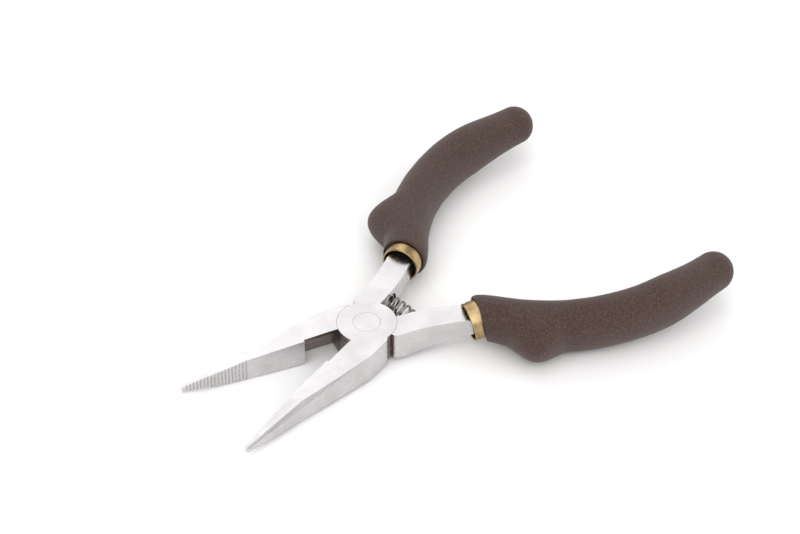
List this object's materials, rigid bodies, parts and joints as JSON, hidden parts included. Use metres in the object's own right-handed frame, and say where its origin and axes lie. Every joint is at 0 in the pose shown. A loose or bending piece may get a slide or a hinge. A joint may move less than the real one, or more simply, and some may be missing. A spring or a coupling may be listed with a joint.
{
  "type": "needle nose pliers",
  "caption": "Mini needle nose pliers with a lap joint, serrated tapering jaws, a side cutter, a coil return spring and curved foam grips with brass-coloured collars.",
  "frame": {"origin": "where the pivot axis meets the underside of the joint", "axes": "+X towards the jaw tips along the line between the jaws, +Y towards the jaw of the half whose leaf is on top, +Z along the pivot axis out of the joint's top face"},
  "size_m": [0.1174, 0.0774, 0.0127],
  "materials": {
    "steel": "finely polished, plated",
    "spring_wire": "bright drawn wire",
    "collar": "satin gold",
    "foam": "matte, finely pored foam"
  },
  "bodies": {
    "upper": {"upper_half": "steel", "pivot_rivet": "steel", "return_spring": "spring_wire", "upper_collar": "collar", "upper_grip": "foam"},
    "lower": {"lower_half": "steel", "lower_collar": "collar", "lower_grip": "foam"}
  },
  "joints": [
    {"name": "plier_hinge", "type": "hinge", "parent": "upper", "child": "lower", "pos_m": [0, 0, 0], "axis": [0, 0, 1], "range_deg": [-10.5, 30], "stiffness_Nm_per_rad": 0.09, "deforming": ["return_spring"]}
  ]
}
